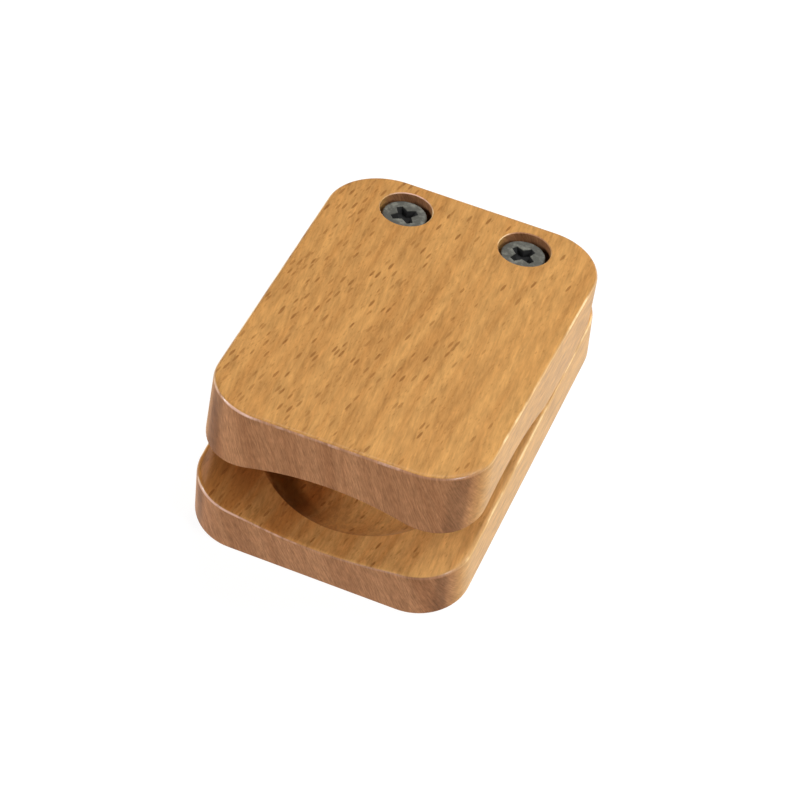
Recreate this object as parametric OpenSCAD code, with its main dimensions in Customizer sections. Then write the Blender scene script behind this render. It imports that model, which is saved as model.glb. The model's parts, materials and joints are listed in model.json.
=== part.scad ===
// Spring-loaded finger castanet: two wooden plates, two screws, two springs.
// Frame: origin at the middle of the base plate's underside, +Z up, the mouth
// opens towards -Y. Units are millimetres.

/* [Plates] */
// Width of both plates
plate_w = 50; // [44:0.5:60]
// Length of both plates
plate_l = 74; // [72:0.5:84]
// Radius of the base plate's corners, seen from above
base_corner_r = 9.5; // [6:0.1:14]
// Radius of the top plate's corners, seen from above
top_corner_r = 11; // [6:0.1:14]
// Thickness of the base plate
base_t = 10.2; // [10.2:0.1:14]
// Thickness of the top plate, ahead of the bevel
top_t = 12.5; // [12.5:0.1:16]

/* [Rocking] */
// Angle at which the mouth stands open, and of the bevel under the top plate
open_angle = 12; // [9:0.5:12]
// Distance of the fulcrum edge behind the middle of the plates
fulcrum_y = 15; // [14:0.5:17]
// How far the top plate's middle lies ahead of the base plate's
top_ahead = 0.7; // [0:0.1:1.5]
// Turn of the top plate on the base, about the middle of the fulcrum edge
twist = 1; // [0:0.1:1.5]
// Clear gap between the two plates where they lie on each other
seam = 0.1; // [0.05:0.01:0.2]

/* [Hollows] */
// Radius of the ball cutter that makes the wide hollows
ball_r = 60; // [55:1:80]
// Radius of the rim of the base plate's wide hollow
scoop_rim_r = 22; // [20:0.5:24]
// Distance of the base plate's wide hollow from the front edge
scoop_from_front = 16; // [16:0.5:20]
// Radius of the ball cutter that makes the dish in that hollow
dish_r = 28; // [27:1:45]
// Distance of the dish's middle from the front edge
dish_from_front = 22.5; // [21:0.1:25]
// Height of that ball's lowest point above the underside
dish_low_z = 1.6; // [1:0.1:3]
// Wood left under the dish's flat floor
dish_floor_t = 2.2; // [2:0.1:4]
// Radius of the top plate's hollow, where it would meet a flat underside
hollow_rim_r = 31; // [26:0.5:32]
// Distance of the top plate's hollow from its front edge
hollow_from_front = 24.5; // [24:0.5:28]

/* [Screws] */
// Distance between the two screws
screw_spacing = 22.3; // [18:0.1:26]
// How far the pair of screws sits to the right of the top plate's middle line
screw_shift = -0.4; // [-0.8:0.1:0.8]
// Distance of the counterbores' middle from the rear edge
screw_from_rear = 7.7; // [7:0.1:9]
// Diameter of the counterbores
bore_d = 9.4; // [9.2:0.1:10]
// Diameter of the hole through the floor of the counterbore
through_d = 5.6; // [5.4:0.1:6]
// Wood left under the floor of the counterbore, on its axis
floor_t = 1.9; // [1.6:0.1:2]
// Diameter of the screw head
head_d = 8; // [7.5:0.1:8]
// Thickness of the screw head
head_t = 1.4; // [1.2:0.1:1.5]
// Depth of the head's top below the top plate's face
head_sink = 0.9; // [0.8:0.1:1.2]
// How far the screw stands ahead of its counterbore's middle when open
screw_lead = 0.45; // [0.3:0.05:0.5]
// Diameter over the thread
thread_d = 4; // [3.5:0.1:4]
// Diameter of the thread's core
core_d = 2.8; // [2.4:0.1:3]
// Pitch of the thread
thread_pitch = 1.6; // [1.2:0.1:1.8]
// Length under the head
screw_l = 16; // [12:0.5:16]
// Span of the cross recess, from tip to tip
recess_span = 4.6; // [4:0.1:5]
// Width of the arms of the cross recess
recess_w = 1.2; // [0.8:0.05:1.3]
// Depth of the cross recess
recess_depth = 1.1; // [0.6:0.1:1.1]
// Turn of the left screw's recess
left_turn = 42; // [0:1:89]
// Turn of the right screw's recess
right_turn = 57; // [0:1:89]

/* [Springs] */
// Diameter of the spring wire
wire_d = 0.5; // [0.4:0.05:0.6]
// Number of turns
spring_turns = 3.5; // [2.5:0.5:4.5]
// Diameter of the wide lower end, over the wire's middle
spring_low_d = 7.1; // [6.8:0.1:7.3]
// Diameter of the narrow upper end, over the wire's middle
spring_high_d = 5.7; // [5.6:0.1:6.4]
// Thickness of the seat washers
washer_t = 0.3; // [0.2:0.1:0.4]
// Outer diameter of the seat washers
washer_d = 8.8; // [8.4:0.1:9]

/* [Hidden] */
$fn = 96;

// Past a face, so that a cut goes clean through
over = 1;
// Clear gap at each end of a spring
spring_gap = 0.05;
wood_base = [0.74, 0.53, 0.32];
wood_top = [0.78, 0.56, 0.33];
black_steel = [0.16, 0.16, 0.17];
bright_steel = [0.66, 0.67, 0.69];

// The top plate's own frame: origin on the fulcrum edge, +Y to the rear,
// +Z square to the plate's upper face
top_mid_y = -fulcrum_y - top_ahead;
bore_y = top_mid_y + plate_l / 2 - screw_from_rear;
bevel_z = bore_y * tan(open_angle);
floor_z = bevel_z + floor_t;
head_top_z = top_t - head_sink;
head_low_z = head_top_z - head_t;
washer_top_z = floor_z + washer_t;
screw_y = bore_y - screw_lead;
spring_h = head_low_z - washer_top_z - 2 * spring_gap;

// Depth of a ball below the plane in which its cut has the given rim
function ball_drop(rim_r) = sqrt(ball_r * ball_r - rim_r * rim_r);

// Carries a shape from the top plate's own frame to the base's
module on_base() {
    translate([0, fulcrum_y, base_t + seam])
        rotate([-open_angle, 0, twist])
            children();
}

// Sideways place of a screw; side is -1 for left and 1 for right
function screw_x(side) = screw_shift + side * screw_spacing / 2;

// Puts a shape on a screw's axis
module at_screw(side) {
    on_base()
        translate([screw_x(side), screw_y, 0])
            children();
}

// Rectangle with round corners
module plate_outline(corner_r) {
    square([plate_w - 2 * corner_r, plate_l], center = true);
    square([plate_w, plate_l - 2 * corner_r], center = true);
    for (x = [-1, 1], y = [-1, 1])
        translate([x * (plate_w / 2 - corner_r), y * (plate_l / 2 - corner_r)])
            circle(r = corner_r);
}

// Solid of one screw, in the top plate's frame: flat head, cross recess,
// core with a ridge at each pitch, and a point
module screw(turn) {
    ridges = floor((screw_l - thread_d) / thread_pitch);
    point_z = head_low_z - screw_l;
    core_low_z = point_z + thread_d;
    core_r = core_d / 2;
    flank = thread_pitch / 4;
    thread = [for (i = [0 : ridges - 1], k = [0 : 2])
        let (z = core_low_z + i * thread_pitch + (k + 1) * flank)
        [k == 1 ? thread_d / 2 : core_r, z]];
    difference() {
        union() {
            translate([0, 0, head_low_z])
                cylinder(d = head_d, h = head_t);
            rotate_extrude()
                polygon(concat([[0, point_z], [core_r, core_low_z]], thread,
                               [[core_r, head_low_z], [0, head_low_z]]));
        }
        translate([0, 0, head_top_z])
            rotate([0, 0, turn])
                for (a = [0, 90])
                    rotate([0, 0, a])
                        cube([recess_span, recess_w, 2 * recess_depth], center = true);
    }
}

// Point on the spring's middle line at share s of its length: the first and
// last half turn lie flat, and the radius narrows upwards
function spring_rise(s) =
    let (flat = 0.5 / spring_turns)
    min(1, max(0, (s - flat) / (1 - 2 * flat)));
function spring_r(s) = (spring_low_d + (spring_high_d - spring_low_d) * s) / 2;

// Coil spring standing on z = 0, as one tube swept along its helix
module spring() {
    rings = 72;
    sides = 8;
    wire_r = wire_d / 2;
    points = [for (i = [0 : rings], k = [0 : sides - 1])
        let (s = i / rings,
             a = 360 * spring_turns * s,
             b = 360 * k / sides,
             r = spring_r(s) + wire_r * cos(b),
             z = wire_r + spring_rise(s) * (spring_h - wire_d) + wire_r * sin(b))
        [r * cos(a), r * sin(a), z]];
    walls = [for (i = [0 : rings - 1], k = [0 : sides - 1])
        let (n = (k + 1) % sides)
        [i * sides + k, (i + 1) * sides + k, (i + 1) * sides + n, i * sides + n]];
    first = [for (k = [0 : sides - 1]) k];
    last = [for (k = [sides - 1 : -1 : 0]) rings * sides + k];
    polyhedron(points, concat(walls, [first, last]));
}

module base_plate() {
    front_y = -plate_l / 2;
    color(wood_base)
        difference() {
            linear_extrude(base_t)
                plate_outline(base_corner_r);
            translate([0, front_y + scoop_from_front, base_t + ball_drop(scoop_rim_r)])
                sphere(r = ball_r);
            intersection() {
                translate([0, front_y + dish_from_front, dish_low_z + dish_r])
                    sphere(r = dish_r);
                translate([-plate_w, -plate_l, dish_floor_t])
                    cube([2 * plate_w, 2 * plate_l, plate_l]);
            }
            for (side = [-1, 1])
                at_screw(side)
                    translate([0, 0, head_low_z - screw_l])
                        cylinder(d = core_d, h = screw_l);
        }
}

module top_plate() {
    hollow_y = top_mid_y - plate_l / 2 + hollow_from_front;
    color(wood_top)
        on_base()
            difference() {
                translate([0, top_mid_y, 0])
                    linear_extrude(top_t)
                        plate_outline(top_corner_r);
                translate([0, hollow_y, -ball_drop(hollow_rim_r)])
                    sphere(r = ball_r);
                rotate([open_angle, 0, 0])
                    translate([-plate_w, 0, -plate_l])
                        cube([2 * plate_w, plate_l, plate_l]);
                for (side = [-1, 1])
                    translate([screw_x(side), bore_y, 0]) {
                        translate([0, 0, floor_z])
                            cylinder(d = bore_d, h = top_t);
                        cylinder(d = through_d, h = floor_z + over);
                    }
            }
}

module left_screw() { color(black_steel) at_screw(-1) screw(left_turn); }
module right_screw() { color(black_steel) at_screw(1) screw(right_turn); }

module placed_spring(side) {
    color(bright_steel)
        at_screw(side)
            translate([0, 0, washer_top_z + spring_gap])
                spring();
}
module left_spring() { placed_spring(-1); }
module right_spring() { placed_spring(1); }

module seat_washer(side) {
    color(bright_steel)
        on_base()
            translate([screw_x(side), bore_y, floor_z])
                difference() {
                    cylinder(d = washer_d, h = washer_t);
                    translate([0, 0, -over])
                        cylinder(d = through_d, h = washer_t + 2 * over);
                }
}
module left_seat_washer() { seat_washer(-1); }
module right_seat_washer() { seat_washer(1); }

base_plate();
top_plate();
left_screw();
right_screw();
left_spring();
right_spring();
left_seat_washer();
right_seat_washer();
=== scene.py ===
"""Looks of a spring-loaded wooden finger castanet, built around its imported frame.

Two beech plates, two black wood screws, and under the screw heads a conical spring
and a seat washer each. Every piece is worked out in its own frame in metres and then
carried to the place that the frame gives it.
"""

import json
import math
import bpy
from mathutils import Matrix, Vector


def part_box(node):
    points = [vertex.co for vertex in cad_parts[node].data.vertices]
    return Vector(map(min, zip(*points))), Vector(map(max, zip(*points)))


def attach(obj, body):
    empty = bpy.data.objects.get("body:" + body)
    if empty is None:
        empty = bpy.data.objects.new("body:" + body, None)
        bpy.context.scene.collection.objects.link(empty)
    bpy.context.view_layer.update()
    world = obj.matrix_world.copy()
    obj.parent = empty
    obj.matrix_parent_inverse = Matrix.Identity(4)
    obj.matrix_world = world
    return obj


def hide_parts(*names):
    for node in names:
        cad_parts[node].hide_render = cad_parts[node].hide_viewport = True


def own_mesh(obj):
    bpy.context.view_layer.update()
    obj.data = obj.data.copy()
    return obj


bl_info = {
    "name": "Finger Castanet",
    "version": (1, 0, 0),
    "blender": (4, 5, 0),
    "location": "View3D > Sidebar > Castanet",
    "description": "Builds the looks of a wooden finger castanet around its packed frame",
    "category": "Object",
}

import bpy
import numpy as np
from mathutils import Euler, Matrix, Vector

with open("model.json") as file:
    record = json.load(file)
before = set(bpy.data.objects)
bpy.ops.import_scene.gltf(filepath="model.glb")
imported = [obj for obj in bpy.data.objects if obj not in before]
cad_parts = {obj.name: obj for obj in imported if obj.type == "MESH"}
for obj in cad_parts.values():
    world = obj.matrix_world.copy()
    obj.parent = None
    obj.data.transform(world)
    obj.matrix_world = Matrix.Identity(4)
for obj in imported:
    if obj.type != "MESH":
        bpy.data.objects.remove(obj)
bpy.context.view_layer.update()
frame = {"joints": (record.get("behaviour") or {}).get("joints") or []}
BASE_LOW, BASE_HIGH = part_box("base_plate")
CLAP = frame["joints"][0]

# Left and right, as a name and as the sign of the sideways place
SIDES = (("left", -1), ("right", 1))
# How far a cutter goes past the face that it opens
OVER = 0.001
# Where the hollows' cutters end: the dish's as a share of its ball, the arch's as one of its rim
DISH_REACH = 0.85
ARCH_REACH = 1.2
# Steps around the plates' rounded edges
EDGE_STEPS = 14
# Millimetres in a metre, because finishes are worked out in millimetres
MILLIMETRES = 1000.0
# Lean of the wood's fibres and of its flecks, from the plate's length towards the right
FIBRE_SLANT = math.radians(-6)
FLECK_SLANT = math.radians(8)
# Each softbox's turn from the front to the right, its height angle, both in degrees, and its size
SOFTBOXES = {
    "key": (122, 44, 0.25),
    "front": (75, 35, 0.3),
    "fill": (-30, 35, 0.3),
    "back": (180, 55, 0.5),
    "low": (-75, 22, 0.2),
}
# Half of the floor's side, and how far the floor lies below the base plate
FLOOR_HALF = 3.0
FLOOR_DROP = 0.00001
# Width of the camera's frame in millimetres
FRAME_WIDTH = 36.0


def distance(name, description, default):
    """A length that the user may change, in metres."""
    return bpy.props.FloatProperty(
        name=name, description=description, default=default, unit="LENGTH", precision=5
    )


def angle(name, description, default):
    """An angle that the user may change, given here in radians."""
    return bpy.props.FloatProperty(
        name=name, description=description, default=default, subtype="ANGLE"
    )


def amount(name, description, default):
    """A plain number that the user may change."""
    return bpy.props.FloatProperty(name=name, description=description, default=default, precision=3)


def colour(name, description, default):
    """A linear colour that the user may change."""
    return bpy.props.FloatVectorProperty(
        name=name, description=description, default=default, size=3, min=0, max=1, subtype="COLOR"
    )


class CASTANET_PG_plates(bpy.types.PropertyGroup):
    """Sizes of the two plates and how the top one leans on the base."""

    width: distance("Width", "Width of both plates", BASE_HIGH.x - BASE_LOW.x)
    length: distance("Length", "Length of both plates", BASE_HIGH.y - BASE_LOW.y)
    base_thickness: distance("Base thickness", "Thickness of the base plate", BASE_HIGH.z - BASE_LOW.z)
    top_thickness: distance("Top thickness", "Thickness of the top plate, ahead of its bevel", 0.0125)
    top_ahead: distance("Top ahead", "How far the top plate lies ahead of the base", 0.0007)
    base_corner: distance("Base corner", "Radius of the base's corners, seen from above", 0.0095)
    top_corner: distance("Top corner", "Radius of the top plate's corners, seen from above", 0.011)
    edge_radius: distance("Edge radius", "Rounding of the upper edges", 0.0008)
    lower_edge_radius: distance("Lower edge radius", "Rounding of the lower edges", 0.0004)
    seam: distance("Seam", "Gap between the plates where they lie on each other", 0.0001)
    fulcrum_y: distance("Fulcrum", "Place of the rocking edge behind the middle", CLAP["pos_m"][1])
    open_angle: angle("Open angle", "Angle of the open mouth", math.radians(CLAP["range_deg"][1]))
    twist: angle(
        "Twist", "Turn of the top plate on the base", math.atan2(CLAP["axis"][1], CLAP["axis"][0])
    )


class CASTANET_PG_hollows(bpy.types.PropertyGroup):
    """Sizes of the ball-shaped hollows."""

    ball_radius: distance("Ball radius", "Radius of the ball that makes the wide hollows", 0.060)
    scoop_rim: distance("Scoop rim", "Radius of the base's wide hollow", 0.022)
    scoop_from_front: distance("Scoop from front", "Distance of that hollow from the front edge", 0.016)
    scoop_blend: distance("Scoop blend", "Height over which its rim is rounded", 0.0014)
    dish_radius: distance("Dish ball", "Radius of the ball that makes the dish", 0.028)
    dish_from_front: distance("Dish from front", "Distance of the dish from the front edge", 0.0225)
    dish_low: distance("Dish low", "Height of that ball's lowest point", 0.0016)
    dish_floor: distance("Dish floor", "Wood left under the dish's flat floor", 0.0022)
    arch_rim: distance("Arch rim", "Radius of the hollow under the top plate", 0.031)
    arch_from_front: distance("Arch from front", "Distance of that hollow from the front edge", 0.0245)


class CASTANET_PG_screws(bpy.types.PropertyGroup):
    """Sizes of the screws and of the bores that they stand in."""

    spacing: distance("Spacing", "Distance between the two screws", 0.0223)
    shift: distance("Shift", "How far the pair sits right of the middle line", -0.0004)
    from_rear: distance("From rear", "Distance of the bores from the rear edge", 0.0077)
    lead: distance("Lead", "How far a screw stands ahead of its bore's middle", 0.00045)
    bore: distance("Bore", "Diameter of the counterbore", 0.0094)
    bore_lip: distance("Bore lip", "Width of the broken edge around the counterbore", 0.00015)
    through: distance("Through hole", "Diameter of the hole through the bore's floor", 0.0056)
    floor: distance("Floor", "Wood left under the bore's floor", 0.0019)
    head: distance("Head", "Diameter of the head", 0.008)
    head_thickness: distance("Head thickness", "Thickness of the head", 0.0014)
    head_edge: distance("Head edge", "Rounding of the head's edges", 0.0003)
    head_sink: distance("Head sink", "Depth of the head below the top plate's face", 0.0009)
    thread: distance("Thread", "Diameter over the thread", 0.004)
    core: distance("Core", "Diameter of the thread's core", 0.0028)
    pitch: distance("Pitch", "Pitch of the thread", 0.0016)
    length: distance("Length", "Length under the head", 0.016)
    recess_span: distance("Recess span", "Cross recess from tip to tip", 0.0050)
    recess_width: distance("Recess width", "Width of the recess's arms", 0.00145)
    recess_depth: distance("Recess depth", "Depth of the cross recess", 0.0013)
    left_turn: angle("Left turn", "Turn of the left screw's recess", math.radians(42))
    right_turn: angle("Right turn", "Turn of the right screw's recess", math.radians(57))


class CASTANET_PG_springs(bpy.types.PropertyGroup):
    """Sizes of the springs and of the washers that they stand on."""

    wire: distance("Wire", "Diameter of the wire", 0.0005)
    turns: amount("Turns", "Number of turns", 3.5)
    low: distance("Low end", "Diameter of the wide lower end, over the wire's middle", 0.0071)
    high: distance("High end", "Diameter of the narrow upper end, over the wire's middle", 0.0057)
    gap: distance("Gap", "Clear gap at each end", 0.00005)
    pressed: amount("Pressed", "Share of its height that is left when the mouth is shut", 0.25)
    washer: distance("Washer", "Outer diameter of the seat washer", 0.0088)
    washer_thickness: distance("Washer thickness", "Thickness of the seat washer", 0.0003)


class CASTANET_PG_finishes(bpy.types.PropertyGroup):
    """Colours of the wood and the metals."""

    top_pale: colour("Top pale", "Light streaks of the top plate", (0.57, 0.295, 0.092))
    top_deep: colour("Top deep", "Dark streaks of the top plate", (0.45, 0.21, 0.059))
    base_pale: colour("Base pale", "Light streaks of the base plate", (0.62, 0.338, 0.118))
    base_deep: colour("Base deep", "Dark streaks of the base plate", (0.45, 0.188, 0.051))
    fleck: colour("Ray fleck", "Short dashes in the wood", (0.245, 0.095, 0.024))
    end_pale: colour("Pale end grain", "Light bands across the ends", (0.44, 0.212, 0.100))
    end_deep: colour("Deep end grain", "Dark bands across the ends", (0.305, 0.132, 0.058))
    side: colour("Sides", "Long narrow faces", (0.60, 0.335, 0.11))
    # Pale edge colours: bare wood from wear, made paler still as a painted highlight
    rubbed_end: colour("Rubbed end", "Worn edges along the ends", (0.80, 0.50, 0.38))
    rubbed_side: colour("Rubbed side", "Worn edges along the sides", (0.90, 0.66, 0.34))
    lacquer: amount("Lacquer", "Weight of the clear lacquer", 0.22)
    black_steel: colour("Black steel", "Phosphated screws", (0.102, 0.102, 0.088))
    grey_steel: colour("Grey steel", "Bare places on the screws", (0.24, 0.24, 0.205))
    grime: colour("Grime", "Black dirt in the screws' recesses", (0.006, 0.006, 0.006))
    # Colour of the heads below their faces, within the recesses' reach
    spring_steel: colour("Spring steel", "Drawn wire", (0.50, 0.50, 0.52))
    zinc: colour("Zinc", "Plated washers", (0.60, 0.60, 0.62))


class CASTANET_PG_stage(bpy.types.PropertyGroup):
    """Camera, lights and floor."""

    aim: bpy.props.FloatVectorProperty(
        name="Aim",
        description="Point in the middle of the picture",
        default=(-0.000146, -0.000922, 0.009324),
        precision=6,
        subtype="XYZ",
        unit="LENGTH",
    )
    azimuth: angle("Azimuth", "Camera's turn from the front to the right", math.radians(18.127))
    elevation: angle("Elevation", "Camera's height angle", math.radians(50.882))
    roll: angle("Roll", "Camera's turn about its own line of sight", math.radians(5.678))
    camera_distance: distance("Distance", "From the aim to the camera", 0.84814)
    lens: amount("Lens", "Focal length in millimetres on a 36 mm frame", 223.302)
    floor_tone: colour("Floor", "Pale floor", (0.15, 0.15, 0.15))
    floor_glow: amount("Floor glow", "Light that the floor gives by itself", 0.9)
    light_distance: distance("Light distance", "From the castanet to each softbox", 0.9)
    key_power: amount("Key power", "Small softbox on the right, a little behind, in watts", 3.05)
    front_power: amount("Front power", "Small softbox in front on the right, in watts", 3.7)
    fill_power: amount("Fill power", "Softbox in front on the left, in watts", 1.55)
    back_power: amount("Back power", "Large softbox behind, in watts", 4.15)
    low_power: amount("Low power", "Small low softbox on the left, in watts", 3.6)


def clapper_place(plates):
    """Place of the top plate's own frame, with its origin on the rocking edge: it leans back by
    the open angle about X, turns by the twist about Z and moves to the rocking edge on the base."""
    spot = Vector((0, plates.fulcrum_y, plates.base_thickness + plates.seam))
    return Matrix.Translation(spot) @ Euler((-plates.open_angle, 0, plates.twist)).to_matrix().to_4x4()


class Stack:
    """Places and heights along the screws, in the top plate's own frame."""

    def __init__(self, scene):
        plates = scene.castanet_plates
        screws = scene.castanet_screws
        springs = scene.castanet_springs
        self.middle_y = -plates.fulcrum_y - plates.top_ahead
        self.bore_y = self.middle_y + plates.length / 2 - screws.from_rear
        self.screw_y = self.bore_y - screws.lead
        self.bore_floor = self.bore_y * math.tan(plates.open_angle) + screws.floor
        self.washer_top = self.bore_floor + springs.washer_thickness
        self.head_top = plates.top_thickness - screws.head_sink
        self.head_low = self.head_top - screws.head_thickness
        self.shift = screws.shift
        self.half_spacing = screws.spacing / 2

    def bore(self, side, height=0.0):
        """Point on a bore's axis."""
        return Vector((self.shift + side * self.half_spacing, self.bore_y, height))

    def screw(self, side, height=0.0):
        """Point on a screw's axis."""
        return Vector((self.shift + side * self.half_spacing, self.screw_y, height))


def add_surface(name, rows, start=None, end=None, ring=False):
    """Object from a grid of points, rows by columns by three. The columns join up into rings.
    The first and last row close on the points start and end, or on each other where ring is set.
    The faces are turned outwards if the closed surface's signed volume comes out negative."""
    count, columns = rows.shape[:2]
    points = rows.reshape(-1, 3)
    index = np.arange(count * columns).reshape(count, columns)
    upper = index if ring else index[:-1]
    lower = np.roll(index, -1, axis=0) if ring else index[1:]
    beside = np.roll(index, -1, axis=1)
    upper_beside = beside if ring else beside[:-1]
    lower_beside = np.roll(beside, -1, axis=0) if ring else beside[1:]
    quads = np.stack([upper, lower, lower_beside, upper_beside], axis=-1).reshape(-1, 4)
    corners = points[quads]
    fans = np.empty((0, 3), int)
    for pole, first, second in ((start, index[0], beside[0]), (end, beside[-1], index[-1])):
        if pole is not None:
            tip = np.full(columns, len(points))
            points = np.vstack([points, np.asarray(pole, float)[None]])
            fans = np.vstack([fans, np.stack([tip, first, second], axis=-1)])
    halves = np.concatenate([corners[:, (0, 1, 2)], corners[:, (0, 2, 3)], points[fans]])
    volume = np.einsum("ij,ij->", halves[:, 0], np.cross(halves[:, 1], halves[:, 2]))
    if volume < 0:
        quads = quads[:, ::-1]
        fans = fans[:, ::-1]
    mesh = bpy.data.meshes.new(name)
    mesh.from_pydata(points, [], quads.tolist() + fans.tolist())
    mesh.update()
    piece = bpy.data.objects.new(name, mesh)
    bpy.context.collection.objects.link(piece)
    return piece


def lathe(radii, heights, columns):
    """Rows of a turned surface: each pair of radius and height makes one ring about Z."""
    turn = np.linspace(0, 2 * np.pi, columns, endpoint=False)
    radii = np.asarray(radii, float)[:, None]
    heights = np.asarray(heights, float)[:, None]
    level = np.broadcast_to(heights, (len(radii), columns))
    return np.stack([radii * np.cos(turn), radii * np.sin(turn), level], axis=-1)


def round_edge(radius, steps):
    """Quarter circle from an upper face to a wall, as (inset, drop) pairs in two arrays."""
    turn = np.linspace(0, np.pi / 2, steps + 1)
    return radius * (1 - np.sin(turn)), radius * (1 - np.cos(turn))


def plate_outline(width, length, radius, corner_steps=18, side_steps=10):
    """Rectangle with round corners, as middles and outward normals: a point inset by d from the
    outline is middle + (radius - d) * normal. On a corner the middle stands still and the normal
    turns; along a side the normal stands still and the middle moves."""
    signs = np.array([(1, 1), (-1, 1), (-1, -1), (1, -1)], float)
    corner = signs * (width / 2 - radius, length / 2 - radius)
    quarter = np.arange(4)[:, None] * np.pi / 2
    turn = quarter + np.linspace(0, np.pi / 2, corner_steps + 1)
    along = np.linspace(0, 1, side_steps + 1)[1:-1, None]
    step = np.roll(corner, -1, axis=0) - corner
    on_corner = np.repeat(corner[:, None], corner_steps + 1, axis=1)
    on_side = corner[:, None] + along * step[:, None]
    side_turn = np.broadcast_to(quarter + np.pi / 2, (4, side_steps - 1))
    middles = np.concatenate([on_corner, on_side], axis=1).reshape(-1, 2)
    turns = np.concatenate([turn, side_turn], axis=1).reshape(-1)
    return middles, np.stack([np.cos(turns), np.sin(turns)], axis=-1)


def plate_blank(name, plates, radius, thickness, middle_y, sink=None, side_steps=10):
    """Solid plate with rounded edges, standing on z = 0: rows go from the middle of the upper face
    over the rounded edge, down the wall, round the lower edge and to the middle below. Rows on the
    upper face shrink the outline towards its middle. A narrow row beside each rounding keeps the
    faces flat. sink lowers the upper face and its edge by a depth that depends on x and y."""
    middles, normals = plate_outline(plates.width, plates.length, radius, side_steps=side_steps)
    inset, drop = round_edge(plates.edge_radius, EDGE_STEPS)
    low_inset, low_drop = round_edge(plates.lower_edge_radius, EDGE_STEPS)
    flat = plates.edge_radius / 2
    insets = np.concatenate([[inset[0] + flat], inset, low_inset[::-1], [low_inset[0] + flat]])
    heights = np.concatenate([[thickness], thickness - drop, low_drop[::-1], [0]])
    across = middles + (radius - insets)[:, None, None] * normals
    innermost = 0.02
    shrink = np.linspace(innermost, 1, side_steps, endpoint=False)[:, None, None]
    across = np.concatenate([shrink * across[0], across])
    heights = np.concatenate([np.full(side_steps, thickness), heights])
    upper = heights > thickness / 2
    level = np.repeat(heights[:, None], len(middles), axis=1)
    top = thickness
    if sink:
        level = level - upper[:, None] * sink(across[..., 0], across[..., 1] + middle_y)
        top = thickness - float(sink(0.0, middle_y))
    rows = np.concatenate([across + (0, middle_y), level[..., None]], axis=-1)
    return add_surface(name, rows, (0, middle_y, top), (0, middle_y, 0))


def scoop_depth(plates, hollows):
    """Depth of the base's wide hollow as a function of x and y. A ball sinks by b below the flat
    face; the depth is b inside the rim and 0 outside, joined by (b + w)^2 / 4w where b lies within
    w, the blend, of 0."""
    middle_y = hollows.scoop_from_front - plates.length / 2
    ball = hollows.ball_radius
    plane = math.sqrt(ball**2 - hollows.scoop_rim**2)
    blend = hollows.scoop_blend

    def depth(x, y):
        sunk = np.sqrt(np.maximum(ball**2 - x**2 - (y - middle_y)**2, 0)) - plane
        joined = np.clip(sunk + blend, 0, 2 * blend)**2 / (4 * blend)
        return np.where(sunk > blend, sunk, joined)

    return depth


def ball_cutter(radius, reach, tip, upwards, flat=0.0, steps=90, columns=240):
    """Cap of a ball with its tip at a point and a flat end as wide as twice the reach. At tilt t
    from the tip the radius is ball * sin t and the height ball * (cos t - 1). upwards is 1 where
    the tip is the cap's highest point and -1 where it is the lowest. flat is the height that is
    cut off at the tip."""
    least_tilt = 0.01
    start = max(least_tilt, math.acos(1 - flat / radius))
    tilt = np.linspace(start, math.asin(reach / radius), steps)
    heights = upwards * radius * (np.cos(tilt) - 1)
    rows = lathe(radius * np.sin(tilt), heights, columns)
    cutter = add_surface("hollow_cutter", rows, (0, 0, -upwards * flat), (0, 0, heights[-1]))
    cutter.data.transform(Matrix.Translation(tip))
    return cutter


def wedge_cutter(plates):
    """Block under the rear of the top plate, whose upper face rises from the rocking edge at the
    open angle."""
    half = plates.width
    reach = plates.length
    square = np.array([(half, 0), (half, reach), (-half, reach), (-half, 0)], float)
    levels = np.broadcast_to(np.array([0, -reach])[:, None, None], (2, 4, 1))
    rows = np.concatenate([np.broadcast_to(square, (2, 4, 2)), levels], axis=-1)
    cutter = add_surface("bevel_cutter", rows, (0, reach / 2, 0), (0, reach / 2, -reach))
    cutter.data.transform(Matrix.Rotation(plates.open_angle, 4, "X"))
    return cutter


def bore_cutter(screws, plates, stack, side):
    """Turned cutter of one counterbore: broken lip, wide bore down to the floor, then the through
    hole."""
    bore = screws.bore / 2
    hole = screws.through / 2
    lip = screws.bore_lip
    face = plates.top_thickness
    radii = [bore + lip + OVER, bore, bore, hole, hole]
    heights = [face + OVER, face - lip, stack.bore_floor, stack.bore_floor, -OVER]
    rows = lathe(radii, heights, columns=96)
    cutter = add_surface("bore_cutter", rows, (0, 0, face + OVER), (0, 0, -OVER))
    cutter.data.transform(Matrix.Translation(stack.bore(side)))
    return cutter


def pilot_cutter(screws, place, stack, side):
    """Turned cutter of a screw's pilot hole in the base plate, with the drill's pointed end."""
    core = screws.core / 2
    low = stack.head_low - screws.length
    rows = lathe([core, core], [stack.head_low, low + screws.thread], columns=48)
    cutter = add_surface("pilot_cutter", rows, (0, 0, stack.head_low), (0, 0, low))
    cutter.data.transform(place @ Matrix.Translation(stack.screw(side)))
    return cutter


def carve(piece, cutters):
    """Cuts closed cutters out of a closed piece, one exact Boolean after the other, applies the
    result and deletes the cutters."""
    for cutter in cutters:
        cut = piece.modifiers.new(cutter.name, "BOOLEAN")
        cut.operation = "DIFFERENCE"
        cut.solver = "EXACT"
        cut.object = cutter
    bpy.context.view_layer.update()
    shaped = piece.evaluated_get(bpy.context.evaluated_depsgraph_get())
    mesh = bpy.data.meshes.new_from_object(shaped)
    piece.modifiers.clear()
    piece.data = mesh
    for cutter in cutters:
        bpy.data.objects.remove(cutter)
    if not mesh.polygons:
        raise RuntimeError(f"nothing is left of {piece.name} after the cuts")


def smooth(piece, crease=math.radians(8)):
    """Smooth shading, with edges that turn by more than the crease angle left sharp."""
    piece.data.shade_smooth()
    piece.data.set_sharp_from_angle(angle=crease)


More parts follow.
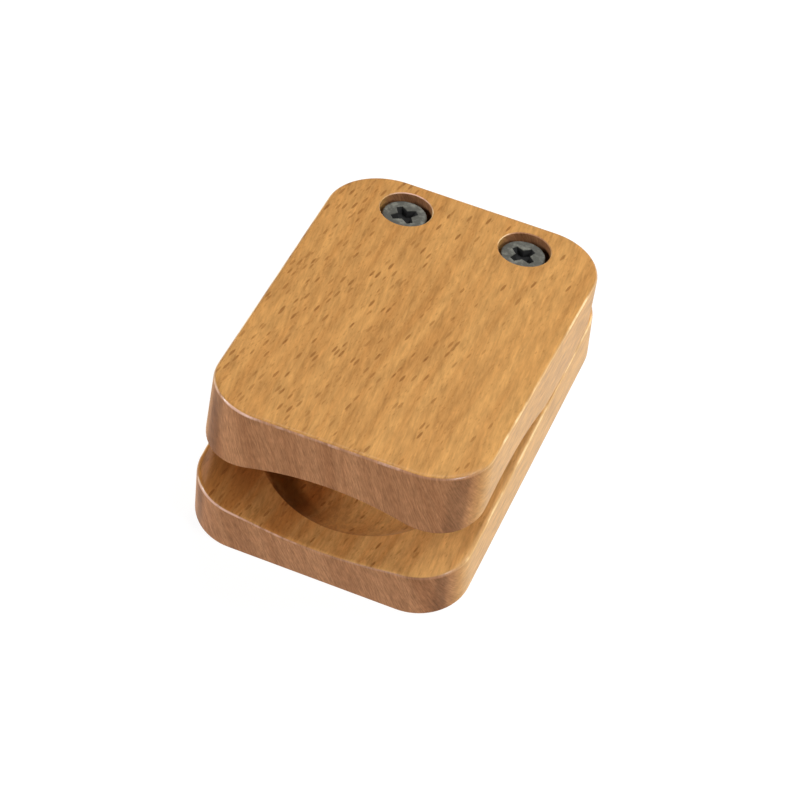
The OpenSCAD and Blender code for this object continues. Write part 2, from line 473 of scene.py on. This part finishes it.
class Signal:
    """A shader socket that takes part in Python expressions: each operator adds a Math node."""

    def __init__(self, finish, socket):
        self.finish = finish
        self.socket = socket

    def output(self, key):
        """Another output of the same node."""
        return Signal(self.finish, self.socket.node.outputs[key])

    def math(self, operation, first, second=0.0):
        """Math node on one or two values."""
        return self.finish.node("ShaderNodeMath", {"operation": operation}, {0: first, 1: second})

    def __add__(self, other):
        return self.math("ADD", self, other)

    def __sub__(self, other):
        return self.math("SUBTRACT", self, other)

    def __rsub__(self, other):
        return self.math("SUBTRACT", other, self)

    def __mul__(self, other):
        return self.math("MULTIPLY", self, other)

    def __abs__(self):
        return self.math("ABSOLUTE", self)

    __radd__ = __add__
    __rmul__ = __mul__

    def ramp(self, low, high):
        """Smooth step from 0 at low to 1 at high; it falls where high is below low."""
        return self.finish.node(
            "ShaderNodeMapRange",
            {"interpolation_type": "SMOOTHSTEP"},
            {"Value": self, "From Min": low, "From Max": high, "To Min": 0.0, "To Max": 1.0},
        )


class Finish:
    """A material in the making, around one Principled shader."""

    def __init__(self, name):
        self.material = bpy.data.materials.new(name)
        self.material.use_nodes = True
        self.tree = self.material.node_tree
        self.shader = self.tree.nodes["Principled BSDF"]

    def node(self, kind, settings=None, sockets=None, output=0):
        """Adds a node: its settings first, then its sockets by name or number, each a plain value
        or a Signal to link. Returns one of its outputs."""
        made = self.tree.nodes.new(kind)
        for key, value in (settings or {}).items():
            setattr(made, key, value)
        self.fill(made, sockets or {})
        return Signal(self, made.outputs[output])

    def fill(self, made, sockets):
        """Sets or links a node's sockets."""
        for key, value in sockets.items():
            if isinstance(value, Signal):
                self.tree.links.new(value.socket, made.inputs[key])
            else:
                made.inputs[key].default_value = value

    def shade(self, **sockets):
        """Sets the Principled shader's sockets; an underscore stands for a space."""
        self.fill(self.shader, {key.replace("_", " "): value for key, value in sockets.items()})

    def point(self, x, y, z):
        """Vector of three values."""
        return self.node("ShaderNodeCombineXYZ", None, {0: x, 1: y, 2: z})

    def split(self, vector):
        """The three values of a vector."""
        x = self.node("ShaderNodeSeparateXYZ", None, {0: vector})
        return x, x.output(1), x.output(2)

    def carried(self, source, place, sockets):
        """The three values of a texture coordinate, carried back into a place's own frame."""
        spot = self.node("ShaderNodeTexCoord", output=source)
        back = {"Vector": spot, "Rotation": place.to_euler(), **sockets}
        return self.split(self.node("ShaderNodeMapping", {"vector_type": "TEXTURE"}, back))

    def own_point(self, place):
        """Where the surface is in a place's own frame, in millimetres."""
        scale = (1 / MILLIMETRES,) * 3
        return self.carried("Object", place, {"Location": place.to_translation(), "Scale": scale})

    def own_facing(self, place):
        """Which way the surface faces in a place's own frame."""
        return self.carried("Normal", place, {})

    def noise(self, point, detail=2.0, roughness=0.5):
        """Soft random pattern of about one wave per unit of the point. detail sets how many finer
        waves are added to it, and roughness how strong they are."""
        return self.node("ShaderNodeTexNoise", None,
                         {"Vector": point, "Scale": 1.0, "Detail": detail, "Roughness": roughness})

    def mix(self, share, first, second):
        """Colour between first and second."""
        return self.node("ShaderNodeMix", {"data_type": "RGBA"}, {0: share, 6: first, 7: second}, 2)

    def dim(self, tone, by):
        """Colour times a number."""
        return self.node("ShaderNodeVectorMath", {"operation": "SCALE"}, {0: tone, "Scale": by})

    def bump(self, height, depth, strength):
        """Normal of a surface with a fine relief, whose depth is in metres."""
        return self.node("ShaderNodeBump", None,
                         {"Strength": strength, "Distance": depth, "Height": height})


def solid(tone):
    """Colour of a socket, from a colour property."""
    return (*tone, 1.0)


def dashes(finish, point, crowd, rarity):
    """Short soft-edged dashes, one to a cell at most: a cell keeps its dash where its lot and the
    crowding together pass the rarity, and another lot sets how dark it is."""
    cell = finish.node("ShaderNodeTexVoronoi", {"feature": "F1"}, {"Vector": point, "Scale": 1.0})
    lot, depth, _ = finish.split(cell.output("Color"))
    kept = (lot + crowd).ramp(rarity, rarity + 0.12)
    return cell.ramp(0.38, 0.2) * kept * (0.45 + depth * 0.55)


def turned_by(x, y, slant):
    """Distances across and along a direction that leans from Y towards X by the slant."""
    cosine = math.cos(slant)
    sine = math.sin(slant)
    return x * cosine - y * sine, y * cosine + x * sine


def beech(name, scene, tones, place, middle_y, seed, lean):
    """Lacquered beech that follows the plate's own frame, in millimetres: streaks and fibres run
    along its length, short ray flecks lie on its broad faces at a slant, darker bands and saw
    marks cross its ends, and its upper edges are pale, partly from wear and partly as a painted
    highlight. Painted shade darkens the dish's left wall, and upright walls that lie in from the
    sides and the ends, as in the bores and on the corners. The seed sets one plate's grain apart
    from the other's, and lean makes the right side of its long grain paler."""
    look = scene.castanet_finishes
    plates = scene.castanet_plates
    finish = Finish(name)
    x, y, z = finish.own_point(place)
    facing_x, facing_y, facing_z = finish.own_facing(place)

    # Ends, long sides, broad faces and upper edges, told apart by the way that they face
    end = abs(facing_y).ramp(0.05, 0.72) * abs(facing_z).ramp(0.86, 0.72)
    side = abs(facing_x).ramp(0.75, 0.97)
    flank = abs(facing_x).ramp(0.93, 0.99)
    broad = abs(facing_z).ramp(0.55, 0.9)
    edge = facing_z.ramp(0.2, 0.5) * facing_z.ramp(0.86, 0.7)

    # Growth layers and marks across them: a factor of x, y or z is a pattern's waves per millimetre
    sway = finish.noise(finish.point(x * 0.03, y * 0.018, z * 0.03 + seed)) - 0.5
    layer = x + z * 0.35 + sway * 7.0
    streak = finish.noise(finish.point(layer * 0.32, y * 0.02, seed), 4.0, 0.6)
    band = finish.noise(finish.point(layer * 0.2, y * 0.006, seed + 9.0), 4.0, 0.6)
    blotch = finish.noise(finish.point(x * 0.17, y * 0.15, z * 0.2 + seed), 3.0)
    saw = finish.noise(finish.point(x * 5.0 + z * 2.2, z * 0.5 - x * 0.2, y * 0.1 + seed), 2.0)

    # Fibres and flecks, which lie at a slant
    across, along = turned_by(x, y, FIBRE_SLANT)
    fibre = finish.noise(finish.point(across * 2.4, along * 0.25, z * 2.0 + seed), 3.0, 0.6)
    mottle = finish.noise(finish.point(across * 0.9, along * 0.2, z * 0.9 + seed), 4.0, 0.65)
    across, along = turned_by(x, y, FLECK_SLANT)
    crowd = finish.noise(finish.point(x * 0.06, y * 0.04, seed + 3.0)) * 0.9 - x * 0.011
    large = dashes(finish, finish.point(across * 1.3, along * 0.27, z * 0.4 + seed), crowd, 1.05)
    small = dashes(finish, finish.point(across * 2.3, along * 0.75, z * 0.8 + seed), crowd, 0.85)
    fleck = (large * 0.8 + small * 0.3) * broad

    # Colour of the long grain, the sides and the ends
    pale, deep = tones
    deep_share = streak.ramp(0.30, 0.74) - x * lean
    long_tone = finish.mix(deep_share, solid(pale), solid(deep))
    side_tone = finish.mix(side * 0.6, long_tone, solid(look.side))
    end_share = band.ramp(0.35, 0.66) * 0.85 + x * x * 0.0002
    end_tone = finish.mix(end_share, solid(look.end_pale), solid(look.end_deep))
    plain = finish.mix(end, side_tone, end_tone)

    # Painted shade on walls: on the dish's left wall below its rim, and on what lies in from sides and
    # ends
    steep = facing_z.ramp(0.93, 0.885) * facing_z.ramp(0.6, 0.75)
    below_rim = z.ramp(7.8, 7.0)
    # Painted shade: the dish's left wall below its rim is darkened
    painted_dish_shade = steep * below_rim * x.ramp(0.0, -8.0)
    from_side = plates.width / 2 * MILLIMETRES - abs(x)
    from_end = plates.length / 2 * MILLIMETRES - abs(y - middle_y * MILLIMETRES)
    inside = from_side.ramp(1.5, 2.5) * from_end.ramp(1.5, 2.5)
    # Painted shade: upright walls inside the outline, as in the bores, are darkened
    painted_wall_shade = abs(facing_z).ramp(0.3, 0.1) * inside

    # Grain and flecks on the plain colours, then the pale edges: wear plus painted highlight
    long_grain = fibre * 0.68 + mottle * 0.82 + blotch * 0.2
    end_grain = saw * 1.15 + mottle * 0.55
    grain = 0.15 + long_grain * (1.0 - end) + end_grain * end
    grained = finish.dim(plain, grain * (1.0 - painted_dish_shade * 0.62) * (1.0 - painted_wall_shade * 0.3))
    flecked = finish.mix(fleck, grained, solid(look.fleck))
    # Edges pale from wear and painted highlight, with more on the ends towards the left
    rubbed_and_highlit = finish.mix(end, solid(look.rubbed_side), solid(look.rubbed_end))
    patch = (blotch + streak * 0.4 + mottle * 0.3 - x * end * 0.008).ramp(0.82, 1.02)
    worn_and_highlit = edge * (0.1 + side * 0.35 + patch * 0.8)
    tone = finish.mix(worn_and_highlit, flecked, rubbed_and_highlit)
    relief = fibre * 0.6 - fleck * 0.5 + saw * end * 0.6

    finish.shade(
        Base_Color=tone,
        Roughness=0.36 + fibre * 0.12 + fleck * 0.1,
        Normal=finish.bump(relief, depth=0.0001, strength=0.25),
        IOR=1.12,
        Coat_Weight=look.lacquer * broad + edge * 0.65 + flank * 0.2,
        Coat_Roughness=0.22,
    )
    return finish.material


def black_phosphate(look, place, stack):
    """Dark grey mottled steel with bare places from wear, black below the heads' faces, as far out
    from the screws' axes as the recesses reach. Both screws share it, so a point's distance
    from the nearer axis is worked out, in millimetres, and used as its square."""
    finish = Finish("black_phosphate")
    x, y, z = finish.own_point(place)
    mottle = finish.noise(finish.point(x * 0.9, y * 0.9, z * 0.9), 4.0, 0.6)
    rub = finish.noise(finish.point(x * 2.6, y * 0.7, z * 0.7), 2.0)
    off_x = abs(x - stack.shift * MILLIMETRES) - stack.half_spacing * MILLIMETRES
    off_y = y - stack.screw_y * MILLIMETRES
    square_distance = off_x * off_x + off_y * off_y
    depth = stack.head_top * MILLIMETRES - z
    # Darker below the heads' faces, within the recesses' reach
    recess_darkening = depth.ramp(0.03, 0.2) * square_distance.ramp(10.0, 8.0)
    steel = finish.mix(mottle.ramp(0.42, 0.75), solid(look.black_steel), solid(look.grey_steel))
    finish.shade(
        Base_Color=finish.mix(recess_darkening, steel, solid(look.grime)),
        Metallic=0.55 - recess_darkening * 0.5,
        Roughness=0.42 + mottle * 0.2 + recess_darkening * 0.3,
        Normal=finish.bump(mottle + rub * 0.4, depth=0.00005, strength=0.3),
    )
    return finish.material


def bright_steel(name, tone, roughness):
    """Bare metal with fine drawn lines, closer upwards than sideways, in waves per metre."""
    finish = Finish(name)
    x, y, z = finish.split(finish.node("ShaderNodeTexCoord", output="Object"))
    sideways = 3000.0
    upwards = 9000.0
    line = finish.noise(finish.point(x * sideways, y * sideways, z * upwards), 2.0)
    dark = tuple(0.8 * part for part in tone)
    finish.shade(
        Base_Color=finish.mix(line, solid(tone), solid(dark)),
        Metallic=1.0,
        Roughness=roughness + line * 0.12,
    )
    return finish.material


def dress(piece, material, node, body):
    """Gives a piece its finish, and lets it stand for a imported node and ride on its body."""
    piece.data.materials.clear()
    piece.data.materials.append(material)
    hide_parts(node)
    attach(piece, body)


class CASTANET_OT_base_plate(bpy.types.Operator):
    """Make the base plate, with its dish and the screws' pilot holes"""

    bl_idname = "castanet.base_plate"
    bl_label = "Base plate"

    def execute(self, context):
        scene = context.scene
        plates = scene.castanet_plates
        hollows = scene.castanet_hollows
        stack = Stack(scene)
        place = clapper_place(plates)
        plate = plate_blank("base_plate_wood", plates, plates.base_corner, plates.base_thickness, 0.0,
                            sink=scoop_depth(plates, hollows), side_steps=48)
        dish_y = hollows.dish_from_front - plates.length / 2
        dish = ball_cutter(hollows.dish_radius, hollows.dish_radius * DISH_REACH,
                           Vector((0, dish_y, hollows.dish_low)), -1,
                           flat=hollows.dish_floor - hollows.dish_low)
        pilots = [pilot_cutter(scene.castanet_screws, place, stack, side) for _, side in SIDES]
        carve(plate, [dish, *pilots])
        smooth(plate)
        look = scene.castanet_finishes
        tones = (look.base_pale, look.base_deep)
        wood = beech("base_beech", scene, tones, Matrix.Identity(4), 0.0, seed=4.0, lean=0.028)
        dress(plate, wood, "base_plate", "base")
        return {"FINISHED"}


class CASTANET_OT_top_plate(bpy.types.Operator):
    """Make the top plate, with its arched hollow, rear bevel and counterbores"""

    bl_idname = "castanet.top_plate"
    bl_label = "Top plate"

    def execute(self, context):
        scene = context.scene
        plates = scene.castanet_plates
        hollows = scene.castanet_hollows
        stack = Stack(scene)
        place = clapper_place(plates)
        plate = plate_blank("top_plate_wood", plates, plates.top_corner, plates.top_thickness,
                            stack.middle_y)
        ball = hollows.ball_radius
        arch_y = stack.middle_y - plates.length / 2 + hollows.arch_from_front
        arch_z = ball - math.sqrt(ball**2 - hollows.arch_rim**2)
        arch = ball_cutter(ball, hollows.arch_rim * ARCH_REACH, Vector((0, arch_y, arch_z)), 1)
        bores = [bore_cutter(scene.castanet_screws, plates, stack, side) for _, side in SIDES]
        carve(plate, [arch, wedge_cutter(plates), *bores])
        plate.data.transform(place)
        smooth(plate)
        look = scene.castanet_finishes
        tones = (look.top_pale, look.top_deep)
        wood = beech("top_beech", scene, tones, place, stack.middle_y, seed=0.0, lean=0.006)
        dress(plate, wood, "top_plate", "clapper")
        return {"FINISHED"}


def screw_rows(screws, stack, columns=72, edge_steps=6, shank_steps=130):
    """Rows of one screw from the head's face down to near its point. The head is turned. Below it
    the radius at turn a and depth d is core + ridge * (thread - core), where the ridge is a
    triangle wave of d / pitch - a / full turn, with flats between, that fades in under the head,
    and the whole narrows to the point over the last thread diameter."""
    head = screws.head / 2
    core = screws.core / 2
    inset, drop = round_edge(screws.head_edge, edge_steps)
    broken = screws.head_edge / 3
    head_radii = np.concatenate([[head / 2, head - 2 * screws.head_edge], head - inset,
                                 [head, head - broken, core]])
    head_heights = np.concatenate([[stack.head_top] * 2, stack.head_top - drop,
                                   [stack.head_low + broken, stack.head_low, stack.head_low]])
    head_rows = lathe(head_radii, head_heights, columns)
    turn = np.linspace(0, 2 * np.pi, columns, endpoint=False)[None]
    near_point = screws.length * 0.995
    depth = np.linspace(screws.pitch / 4, near_point, shank_steps)[:, None]
    phase = np.mod(depth / screws.pitch - turn / (2 * np.pi), 1.0)
    sharpness = 1.6
    ridge = np.clip(1 - np.abs(2 * phase - 1) * sharpness, 0, 1)
    fade = np.clip(depth / screws.pitch - 1, 0, 1)
    narrow = np.clip((screws.length - depth) / screws.thread, 0, 1)
    radius = (core + (screws.thread / 2 - core) * ridge * fade) * narrow
    level = np.broadcast_to(stack.head_low - depth, radius.shape)
    shank = np.stack([radius * np.cos(turn), radius * np.sin(turn), level], axis=-1)
    return np.concatenate([head_rows, shank])


def recess_cutter(screws, stack, turn):
    """Cross-shaped cutter: three points for each of the four arms, which widen from their tips to
    their roots, carried down to a smaller cross at the bottom."""
    quarter = np.arange(4)[:, None] * np.pi / 2 + turn
    half = screws.recess_width / 2
    root = 1.3 * half
    tip = 0.8 * half
    reach = screws.recess_span / 2
    corner_x = np.array([root, reach, reach])
    corner_y = np.array([-root, -tip, tip])
    cross_x = (corner_x * np.cos(quarter) - corner_y * np.sin(quarter)).reshape(-1)
    cross_y = (corner_x * np.sin(quarter) + corner_y * np.cos(quarter)).reshape(-1)
    bottom = 0.7
    share = np.array([1.0, 1.0, bottom])[:, None]
    heights = stack.head_top + np.array([OVER, 0, -screws.recess_depth])[:, None]
    level = np.broadcast_to(heights, (len(share), len(cross_x)))
    rows = np.stack([share * cross_x, share * cross_y, level], axis=-1)
    top = (0, 0, stack.head_top + OVER)
    low = (0, 0, stack.head_top - screws.recess_depth)
    return add_surface("recess_cutter", rows, top, low)


class CASTANET_OT_screws(bpy.types.Operator):
    """Make the two black wood screws"""

    bl_idname = "castanet.screws"
    bl_label = "Screws"

    def execute(self, context):
        scene = context.scene
        screws = scene.castanet_screws
        stack = Stack(scene)
        place = clapper_place(scene.castanet_plates)
        steel = black_phosphate(scene.castanet_finishes, place, stack)
        turns = {"left": screws.left_turn, "right": screws.right_turn}
        for name, side in SIDES:
            screw = add_surface(f"{name}_screw_black", screw_rows(screws, stack),
                                (0, 0, stack.head_top), (0, 0, stack.head_low - screws.length))
            carve(screw, [recess_cutter(screws, stack, turns[name])])
            screw.data.transform(place @ Matrix.Translation(stack.screw(side)))
            smooth(screw, crease=math.radians(25))
            dress(screw, steel, f"{name}_screw", "base")
        return {"FINISHED"}


def spring_rows(springs, stack, steps=40, sides=14):
    """Rows of a conical coil: the wire's middle goes round at a radius that narrows upwards, the
    first and last half turn lie flat, and each row is a circle across the wire."""
    share = np.linspace(0, 1, int(springs.turns * steps) + 1)[:, None]
    flat = 0.5 / springs.turns
    rise = np.clip((share - flat) / (1 - 2 * flat), 0, 1)
    wire = springs.wire / 2
    low = stack.washer_top + springs.gap + wire
    high = stack.head_low - springs.gap - wire
    turn = 2 * np.pi * springs.turns * share
    around = np.linspace(0, 2 * np.pi, sides, endpoint=False)[None]
    radius = (springs.low + (springs.high - springs.low) * share) / 2 + wire * np.cos(around)
    level = low + rise * (high - low) + wire * np.sin(around)
    return np.stack([radius * np.cos(turn), radius * np.sin(turn), level], axis=-1)


class CASTANET_OT_springs(bpy.types.Operator):
    """Make the two conical springs"""

    bl_idname = "castanet.springs"
    bl_label = "Springs"

    def execute(self, context):
        scene = context.scene
        springs = scene.castanet_springs
        stack = Stack(scene)
        place = clapper_place(scene.castanet_plates)
        steel = bright_steel("spring_wire", scene.castanet_finishes.spring_steel, roughness=0.28)
        rows = spring_rows(springs, stack)
        for name, side in SIDES:
            coil = add_surface(f"{name}_coil", rows, rows[0].mean(axis=0), rows[-1].mean(axis=0))
            coil.data.transform(place @ Matrix.Translation(stack.screw(side)))
            smooth(coil, crease=math.radians(50))
            dress(coil, steel, f"{name}_spring", "base")
            place @ stack.screw(side, stack.head_low)
            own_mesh(coil)
        return {"FINISHED"}


class CASTANET_OT_seat_washers(bpy.types.Operator):
    """Make the two washers at the bottom of the counterbores"""

    bl_idname = "castanet.seat_washers"
    bl_label = "Seat washers"

    def execute(self, context):
        scene = context.scene
        springs = scene.castanet_springs
        stack = Stack(scene)
        place = clapper_place(scene.castanet_plates)
        zinc = bright_steel("zinc_plate", scene.castanet_finishes.zinc, roughness=0.35)
        outer = springs.washer / 2
        inner = scene.castanet_screws.through / 2
        edge = springs.washer_thickness / 4
        radii = [inner, inner + edge, outer - edge, outer, outer, outer - edge, inner + edge, inner]
        low = stack.bore_floor
        high = stack.washer_top
        heights = [high - edge, high, high, high - edge, low + edge, low, low, low + edge]
        rows = lathe(radii, heights, columns=72)
        for name, side in SIDES:
            ring = add_surface(f"{name}_seat_ring", rows, ring=True)
            ring.data.transform(place @ Matrix.Translation(stack.bore(side)))
            smooth(ring, crease=math.radians(25))
            dress(ring, zinc, f"{name}_seat_washer", "clapper")
        return {"FINISHED"}


def softbox(name, reach, turn, height, size, power):
    """Square area light that looks at the castanet from a turn, in degrees from the front to the
    right, and a height angle."""
    sight = Euler((math.radians(90 - height), 0, math.radians(turn)))
    data = bpy.data.lights.new(name, "AREA")
    data.size = size
    data.energy = power
    light = bpy.data.objects.new(name, data)
    light.location = sight.to_matrix() @ Vector((0, 0, reach))
    light.rotation_euler = sight
    bpy.context.collection.objects.link(light)


class CASTANET_OT_stage(bpy.types.Operator):
    """Make the floor, the lights and the camera"""

    bl_idname = "castanet.stage"
    bl_label = "Stage"

    def execute(self, context):
        scene = context.scene
        stage = scene.castanet_stage
        signs = ((-1, -1), (1, -1), (1, 1), (-1, 1))
        corners = [(x * FLOOR_HALF, y * FLOOR_HALF, -FLOOR_DROP) for x, y in signs]
        mesh = bpy.data.meshes.new("floor")
        mesh.from_pydata(corners, [], [(0, 1, 2, 3)])
        floor = bpy.data.objects.new("floor", mesh)
        context.collection.objects.link(floor)
        paper = Finish("floor_paper")
        paper.shade(
            Base_Color=solid(stage.floor_tone),
            Roughness=0.9,
            Emission_Color=(1, 1, 1, 1),
            Emission_Strength=stage.floor_glow,
        )
        mesh.materials.append(paper.material)

        sky = bpy.data.worlds.new("studio")
        sky.use_nodes = True
        sky.node_tree.nodes["Background"].inputs["Strength"].default_value = 0.0
        scene.world = sky
        scene.view_settings.view_transform = "Standard"
        for name, (turn, height, size) in SOFTBOXES.items():
            power = getattr(stage, f"{name}_power")
            softbox(f"{name}_softbox", stage.light_distance, turn, height, size, power)

        lens = bpy.data.cameras.new("camera")
        lens.lens = stage.lens
        lens.sensor_width = FRAME_WIDTH
        camera = bpy.data.objects.new("camera", lens)
        level = math.pi / 2 - stage.elevation
        sight = Euler((level, 0, stage.azimuth)).to_matrix() @ Matrix.Rotation(stage.roll, 3, "Z")
        back = sight @ Vector((0, 0, 1))
        camera.matrix_world = (Matrix.Translation(Vector(stage.aim) + back * stage.camera_distance)
                               @ sight.to_4x4())
        context.collection.objects.link(camera)
        scene.camera = camera
        return {"FINISHED"}


class CASTANET_PT_panel(bpy.types.Panel):
    """Buttons and sizes of the castanet"""

    bl_label = "Castanet"
    bl_space_type = "VIEW_3D"
    bl_region_type = "UI"
    bl_category = "Castanet"

    def draw(self, context):
        for operator in OPERATORS:
            self.layout.operator(operator.bl_idname)
        for name, group in GROUPS.items():
            box = self.layout.box()
            box.label(text=name.removeprefix("castanet_").capitalize())
            for key in group.__annotations__:
                box.prop(getattr(context.scene, name), key)


GROUPS = {
    "castanet_plates": CASTANET_PG_plates,
    "castanet_hollows": CASTANET_PG_hollows,
    "castanet_screws": CASTANET_PG_screws,
    "castanet_springs": CASTANET_PG_springs,
    "castanet_finishes": CASTANET_PG_finishes,
    "castanet_stage": CASTANET_PG_stage,
}
OPERATORS = (
    CASTANET_OT_base_plate,
    CASTANET_OT_top_plate,
    CASTANET_OT_screws,
    CASTANET_OT_springs,
    CASTANET_OT_seat_washers,
    CASTANET_OT_stage,
)


def register():
    """Adds the classes, and one group of sizes or colours each to the scene."""
    for group in GROUPS.values():
        bpy.utils.register_class(group)
    for operator in OPERATORS:
        bpy.utils.register_class(operator)
    bpy.utils.register_class(CASTANET_PT_panel)
    for name, group in GROUPS.items():
        setattr(bpy.types.Scene, name, bpy.props.PointerProperty(type=group))


def unregister():
    """Takes away what register adds, in reverse order."""
    for name in GROUPS:
        delattr(bpy.types.Scene, name)
    bpy.utils.unregister_class(CASTANET_PT_panel)
    for operator in reversed(OPERATORS):
        bpy.utils.unregister_class(operator)
    for group in reversed(GROUPS.values()):
        bpy.utils.unregister_class(group)


def main():
    register()
    bpy.ops.castanet.base_plate()
    bpy.ops.castanet.top_plate()
    bpy.ops.castanet.screws()
    bpy.ops.castanet.springs()
    bpy.ops.castanet.seat_washers()
    bpy.ops.castanet.stage()


if __name__ == "__main__":
    main()
